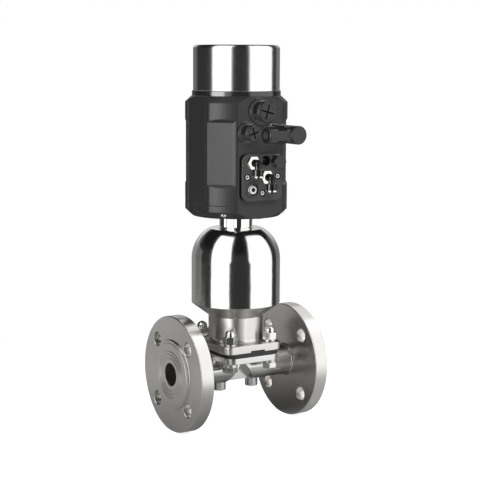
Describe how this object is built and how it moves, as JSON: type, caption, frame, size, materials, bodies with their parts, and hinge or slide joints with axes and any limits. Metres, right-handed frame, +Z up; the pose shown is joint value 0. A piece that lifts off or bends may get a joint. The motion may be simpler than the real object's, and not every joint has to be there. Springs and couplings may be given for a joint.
{
  "type": "flanged diaphragm valve",
  "caption": "Straight diaphragm valve with pipe flanges, a polished piston actuator above it and a black control head with air and cable ports under a steel cap.",
  "frame": {"origin": "centre of the inlet raised face, on the pipe axis", "axes": "+X along the flow, +Z up along the spindle, the air and cable ports face -Y"},
  "size_m": [0.15, 0.1471, 0.378],
  "materials": {
    "flange_steel": "turned, satin",
    "body_steel": "satin, electropolished",
    "bolt_steel": "bright",
    "polished_steel": "mirror polished",
    "spindle_steel": "ground",
    "spring_steel": "oiled wire",
    "cast_aluminium": "machined",
    "bush_brass": "bored bronze",
    "fitting_nickel": "nickel plated",
    "diaphragm_rubber": "moulded",
    "seal_rubber": "moulded",
    "head_plastic": "fine grained",
    "fitting_plastic": "smooth moulded",
    "panel_plastic": "moulded",
    "key_plastic": "moulded",
    "board_green": "lacquered"
  },
  "bodies": {
    "valve": {"acorn_nuts": "bolt_steel", "actuator_shell": "polished_steel", "adapter_neck": "polished_steel", "base_screws": "bolt_steel", "board_frame": "panel_plastic", "bolt_washers": "bolt_steel", "bonnet": "body_steel", "bonnet_bolts": "bolt_steel", "closing_springs": "spring_steel", "collar": "head_plastic", "connector_body": "fitting_plastic", "connector_socket": "fitting_nickel", "cover_seal": "seal_rubber", "diaphragm": "diaphragm_rubber", "fitting_studs": "fitting_nickel", "gland_plugs": "fitting_plastic", "head_base": "head_plastic", "head_housing": "head_plastic", "housing_seal": "seal_rubber", "hub_nut": "bolt_steel", "inlet_flange": "flange_steel", "large_gland": "fitting_plastic", "main_board": "board_green", "manifold_gasket": "seal_rubber", "manifold_plate": "head_plastic", "manifold_screws": "bolt_steel", "operator_panel": "panel_plastic", "outlet_flange": "flange_steel", "pilot_valves": "panel_plastic", "port_plug": "fitting_plastic", "port_ring": "polished_steel", "position_sensor": "panel_plastic", "shell_seal": "seal_rubber", "side_screw": "bolt_steel", "small_gland": "fitting_plastic", "spindle_bushes": "bush_brass", "spindle_seals": "seal_rubber", "spring_plate": "spring_steel", "valve_body": "body_steel"},
    "stem": {"compressor": "cast_aluminium", "compressor_pin": "bolt_steel", "diaphragm_stud": "body_steel", "spindle": "spindle_steel", "piston": "cast_aluminium", "piston_seal": "seal_rubber", "piston_guide_ring": "seal_rubber", "spindle_nut": "bolt_steel", "feedback_rod": "spindle_steel"},
    "cover": {"cover": "polished_steel"},
    "menu_key": {"menu_key": "key_plastic"},
    "enter_key": {"enter_key": "key_plastic"},
    "inlet_elbow": {"inlet_elbow": "fitting_plastic", "inlet_band": "polished_steel"},
    "outlet_elbow": {"outlet_elbow": "fitting_plastic", "outlet_band": "polished_steel"},
    "inlet_collet": {"inlet_collet": "fitting_plastic"},
    "outlet_collet": {"outlet_collet": "fitting_plastic"},
    "union_nut": {"union_nut": "fitting_plastic"},
    "clamp_nut": {"clamp_nut": "fitting_plastic"}
  },
  "joints": [
    {"name": "spindle_lift", "type": "slide", "parent": "valve", "child": "stem", "axis": [0, 0, 1], "range_m": [0, 0.01], "stiffness_N_per_m": 8000, "springref_m": -0.02, "deforming": ["diaphragm", "closing_springs"]},
    {"name": "cover_lift", "type": "slide", "parent": "valve", "child": "cover", "axis": [0, 0, 1], "range_m": [0, 0.06]},
    {"name": "menu_key_press", "type": "slide", "parent": "valve", "child": "menu_key", "axis": [0, 0, -1], "range_m": [0, 0.0005], "stiffness_N_per_m": 800, "springref_m": -0.0005},
    {"name": "enter_key_press", "type": "slide", "parent": "valve", "child": "enter_key", "axis": [0, 0, -1], "range_m": [0, 0.0005], "stiffness_N_per_m": 800, "springref_m": -0.0005},
    {"name": "inlet_elbow_swivel", "type": "hinge", "parent": "valve", "child": "inlet_elbow", "pos_m": [0.0622, -0.06005, 0.209], "axis": [0, 1, 0], "range_deg": [0, 270]},
    {"name": "outlet_elbow_swivel", "type": "hinge", "parent": "valve", "child": "outlet_elbow", "pos_m": [0.0776, -0.06005, 0.1948], "axis": [0, 1, 0], "range_deg": [-90, 40]},
    {"name": "inlet_collet_push", "type": "slide", "parent": "inlet_elbow", "child": "inlet_collet", "axis": [0, 0, 1], "range_m": [0, 0.0008], "stiffness_N_per_m": 600, "springref_m": -0.0005},
    {"name": "outlet_collet_push", "type": "slide", "parent": "outlet_elbow", "child": "outlet_collet", "axis": [0, 0, 1], "range_m": [0, 0.0008], "stiffness_N_per_m": 600, "springref_m": -0.0005},
    {"name": "union_nut_turn", "type": "hinge", "parent": "valve", "child": "union_nut", "pos_m": [0.0888, -0.055, 0.2366], "axis": [0, -1, 0], "continuous": true},
    {"name": "clamp_nut_turn", "type": "hinge", "parent": "valve", "child": "clamp_nut", "pos_m": [0.062, -0.07965, 0.2366], "axis": [-1, 0, 0], "continuous": true}
  ]
}
